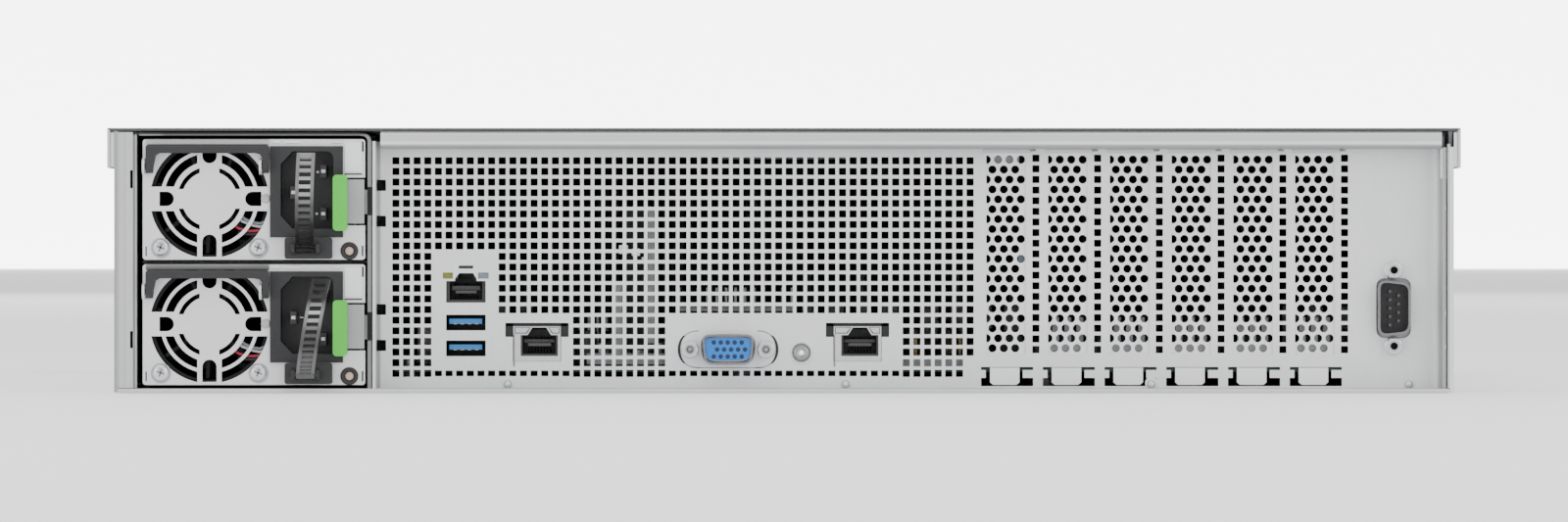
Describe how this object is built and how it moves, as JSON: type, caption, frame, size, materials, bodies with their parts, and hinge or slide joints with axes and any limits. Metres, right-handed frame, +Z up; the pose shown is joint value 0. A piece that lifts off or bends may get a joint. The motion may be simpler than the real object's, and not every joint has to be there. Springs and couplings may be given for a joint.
{
  "type": "2u rack server",
  "caption": "Rack server in a two-unit steel chassis with perforated rear panel, ports, slot covers and slide-in redundant power supplies with bail handles.",
  "frame": {"origin": "centre of the overall box in plan, on the plane that the chassis floor rests on", "axes": "+Z up; the front with the drive bays faces -Y, the rear with ports and power supplies faces +Y; +X is on the left seen from the rear, the side of the power supplies"},
  "size_m": [0.4826, 0.74, 0.0868],
  "materials": {
    "galvanised_steel": "bright zinc-plated sheet, fine grain",
    "cover_steel": "zinc-plated sheet, satin",
    "psu_steel": "satin nickel-plated sheet",
    "port_steel": "bright tin-plated shells",
    "port_plastic": "moulded blue connector insert",
    "board_green": "solder-masked glass-epoxy board",
    "processor_metal": "nickel-plated lid in a black socket",
    "heatsink_aluminium": "bare extruded fins",
    "socket_black": "black moulded sockets",
    "memory_green": "green boards with black chips",
    "fan_black": "glass-filled black moulding",
    "carrier_black": "textured black moulding",
    "lever_grey": "dark grey moulding",
    "drive_aluminium": "die-cast case",
    "harness": "black wire sleeves",
    "ear_black": "powder-coated black",
    "button_plastic": "polished cap",
    "screw_zinc": "zinc-plated",
    "interlock_plastic": "black moulding",
    "latch_blue": "dark moulded lever",
    "inlet_grey": "dark grey moulding",
    "handle_grey": "dark grey moulding",
    "release_green": "soft green over-moulding",
    "strap_nylon": "smoked nylon strip"
  },
  "bodies": {
    "chassis": {"chassis_base": "galvanised_steel", "side_walls": "galvanised_steel", "rear_panel": "galvanised_steel", "rear_top_rail": "galvanised_steel", "psu_cage": "galvanised_steel", "slot_covers": "galvanised_steel", "motherboard": "board_green", "lan_jacks": "port_steel", "usb_ports": "port_plastic", "vga_port": "port_steel", "serial_port": "port_steel", "processors": "processor_metal", "cpu_heatsinks": "heatsink_aluminium", "board_sockets": "socket_black", "memory_modules": "memory_green", "fan_bracket": "galvanised_steel", "fan_frames": "fan_black", "drive_cage": "cover_steel", "drive_backplane": "board_green", "drive_fillers": "carrier_black", "power_board": "board_green", "power_harness": "harness", "left_ear": "ear_black", "right_ear": "ear_black", "fasteners": "screw_zinc"},
    "interlock": {"interlock_slide": "interlock_plastic"},
    "cover": {"top_cover": "cover_steel"},
    "cover_latch_lever": {"cover_latch": "latch_blue"},
    "system_fan_1": {"fan_rotor_1": "fan_black"},
    "system_fan_2": {"fan_rotor_2": "fan_black"},
    "system_fan_3": {"fan_rotor_3": "fan_black"},
    "drive_1": {"drive_tray_1": "carrier_black", "hard_drive_1": "drive_aluminium"},
    "drive_1_lever": {"drive_lever_1": "lever_grey"},
    "drive_2": {"drive_tray_2": "carrier_black", "hard_drive_2": "drive_aluminium"},
    "drive_2_lever": {"drive_lever_2": "lever_grey"},
    "drive_3": {"drive_tray_3": "carrier_black", "hard_drive_3": "drive_aluminium"},
    "drive_3_lever": {"drive_lever_3": "lever_grey"},
    "power_button": {"power_button": "button_plastic"},
    "id_button": {"id_button": "button_plastic"},
    "psu_1": {"psu_1_case": "psu_steel", "psu_1_inlet": "inlet_grey", "psu_1_fan_frame": "fan_black", "psu_1_board": "board_green"},
    "psu_1_fan": {"psu_1_fan_rotor": "fan_black"},
    "psu_1_bail": {"psu_1_handle": "handle_grey"},
    "psu_1_release": {"psu_1_latch": "psu_steel", "psu_1_release_tab": "release_green"},
    "psu_1_cord_strap": {"psu_1_strap": "strap_nylon"},
    "psu_2": {"psu_2_case": "psu_steel", "psu_2_inlet": "inlet_grey", "psu_2_fan_frame": "fan_black", "psu_2_board": "board_green"},
    "psu_2_fan": {"psu_2_fan_rotor": "fan_black"},
    "psu_2_bail": {"psu_2_handle": "handle_grey"},
    "psu_2_release": {"psu_2_latch": "psu_steel", "psu_2_release_tab": "release_green"},
    "psu_2_cord_strap": {"psu_2_strap": "strap_nylon"}
  },
  "joints": [
    {"name": "cover_slide", "type": "slide", "parent": "chassis", "child": "interlock", "axis": [0, 1, 0], "range_m": [0, 0.014]},
    {"name": "cover_lift", "type": "slide", "parent": "interlock", "child": "cover", "axis": [0, 0, 1], "range_m": [0, 0.18]},
    {"name": "cover_latch_turn", "type": "hinge", "parent": "cover", "child": "cover_latch_lever", "pos_m": [0, 0.0925, 0.0826], "axis": [-1, 0, 0], "range_deg": [0, 80.22]},
    {"name": "system_fan_1_spin", "type": "hinge", "parent": "chassis", "child": "system_fan_1", "pos_m": [-0.15, -0.147, 0.0432], "axis": [0, 1, 0], "continuous": true},
    {"name": "system_fan_2_spin", "type": "hinge", "parent": "chassis", "child": "system_fan_2", "pos_m": [-0.045, -0.147, 0.0432], "axis": [0, 1, 0], "continuous": true},
    {"name": "system_fan_3_spin", "type": "hinge", "parent": "chassis", "child": "system_fan_3", "pos_m": [0.06, -0.147, 0.0432], "axis": [0, 1, 0], "continuous": true},
    {"name": "drive_1_slide", "type": "slide", "parent": "chassis", "child": "drive_1", "axis": [0, -1, 0], "range_m": [0, 0.16]},
    {"name": "drive_1_lever_swing", "type": "hinge", "parent": "drive_1", "child": "drive_1_lever", "pos_m": [-0.2015, -0.3544, 0.0699], "axis": [0, 0, -1], "range_deg": [0, 60]},
    {"name": "drive_2_slide", "type": "slide", "parent": "chassis", "child": "drive_2", "axis": [0, -1, 0], "range_m": [0, 0.16]},
    {"name": "drive_2_lever_swing", "type": "hinge", "parent": "drive_2", "child": "drive_2_lever", "pos_m": [-0.2015, -0.3544, 0.0426], "axis": [0, 0, -1], "range_deg": [0, 60]},
    {"name": "drive_3_slide", "type": "slide", "parent": "chassis", "child": "drive_3", "axis": [0, -1, 0], "range_m": [0, 0.16]},
    {"name": "drive_3_lever_swing", "type": "hinge", "parent": "drive_3", "child": "drive_3_lever", "pos_m": [-0.2015, -0.3544, 0.0153], "axis": [0, 0, -1], "range_deg": [0, 60]},
    {"name": "power_button_press", "type": "slide", "parent": "chassis", "child": "power_button", "axis": [0, 1, 0], "range_m": [0, 0.0015], "stiffness_N_per_m": 600},
    {"name": "id_button_press", "type": "slide", "parent": "chassis", "child": "id_button", "axis": [0, -1, 0], "range_m": [0, 0.001], "stiffness_N_per_m": 600},
    {"name": "psu_1_slide", "type": "slide", "parent": "chassis", "child": "psu_1", "axis": [0, 1, 0], "range_m": [0, 0.2]},
    {"name": "psu_1_fan_spin", "type": "hinge", "parent": "psu_1", "child": "psu_1_fan", "pos_m": [0.1885, 0.3285, 0.0635], "axis": [0, 1, 0], "continuous": true},
    {"name": "psu_1_handle_fold", "type": "hinge", "parent": "psu_1", "child": "psu_1_bail", "pos_m": [0.18905, 0.3462, 0.0742], "axis": [-1, 0, 0], "range_deg": [0, 90]},
    {"name": "psu_1_release_flex", "type": "hinge", "parent": "psu_1", "child": "psu_1_release", "pos_m": [0.13805, 0.3145, 0.06265], "axis": [0, 0, -1], "range_deg": [0, 3.2], "stiffness_Nm_per_rad": 8},
    {"name": "psu_1_strap_swing", "type": "hinge", "parent": "psu_1", "child": "psu_1_cord_strap", "pos_m": [0.1568, 0.3494, 0.0471], "axis": [-1, 0, 0], "range_deg": [0, 40]},
    {"name": "psu_2_slide", "type": "slide", "parent": "chassis", "child": "psu_2", "axis": [0, 1, 0], "range_m": [0, 0.2]},
    {"name": "psu_2_fan_spin", "type": "hinge", "parent": "psu_2", "child": "psu_2_fan", "pos_m": [0.1885, 0.3285, 0.0224], "axis": [0, 1, 0], "continuous": true},
    {"name": "psu_2_handle_fold", "type": "hinge", "parent": "psu_2", "child": "psu_2_bail", "pos_m": [0.18905, 0.3462, 0.0331], "axis": [-1, 0, 0], "range_deg": [0, 90]},
    {"name": "psu_2_release_flex", "type": "hinge", "parent": "psu_2", "child": "psu_2_release", "pos_m": [0.13805, 0.3145, 0.02155], "axis": [0, 0, -1], "range_deg": [0, 3.2], "stiffness_Nm_per_rad": 8},
    {"name": "psu_2_strap_swing", "type": "hinge", "parent": "psu_2", "child": "psu_2_cord_strap", "pos_m": [0.1568, 0.3494, 0.006], "axis": [-1, 0, 0], "range_deg": [0, 40]}
  ],
  "couplings": [
    {"joint": "cover_latch_turn", "follows": "cover_slide", "rad_per_m": 100}
  ]
}
